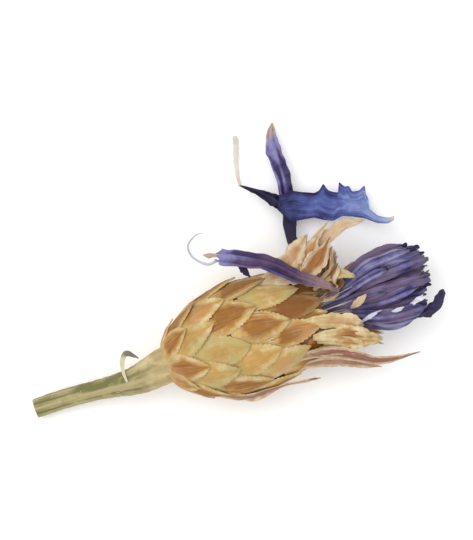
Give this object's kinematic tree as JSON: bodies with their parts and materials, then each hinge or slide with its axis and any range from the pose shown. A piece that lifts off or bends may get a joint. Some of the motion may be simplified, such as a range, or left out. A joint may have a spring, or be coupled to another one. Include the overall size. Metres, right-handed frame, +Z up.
{
  "type": "dried cornflower",
  "caption": "Dried cornflower head lying on its side: short ribbed stem, scaly egg-shaped involucre, papery inner bracts and violet-blue florets.",
  "frame": {"origin": "middle of the bounding box, on the surface that the flower lies on", "axes": "+X along the head's axis from the cut stem to the tips of the florets, +Z up, +Y to the side where the open ray floret reaches out"},
  "size_m": [0.0314, 0.02, 0.0077],
  "materials": {
    "stem": "dry olive-green stem with pale ribs, matt",
    "involucre": "dry golden-brown bracts with straw-coloured margins, matt",
    "inner_bracts": "thin papery straw and pinkish-brown bracts, matt",
    "disc_florets": "dry ridged indigo-violet florets, matt with a faint sheen",
    "ray_floret_folded": "dry lilac-blue petal, matt",
    "ray_floret_open": "dry bright blue petal, matt"
  },
  "bodies": {
    "root": {"stem": "stem", "involucre": "involucre", "inner_bracts": "inner_bracts", "disc_florets": "disc_florets", "ray_floret_folded": "ray_floret_folded", "ray_floret_open": "ray_floret_open"}
  },
  "joints": []
}
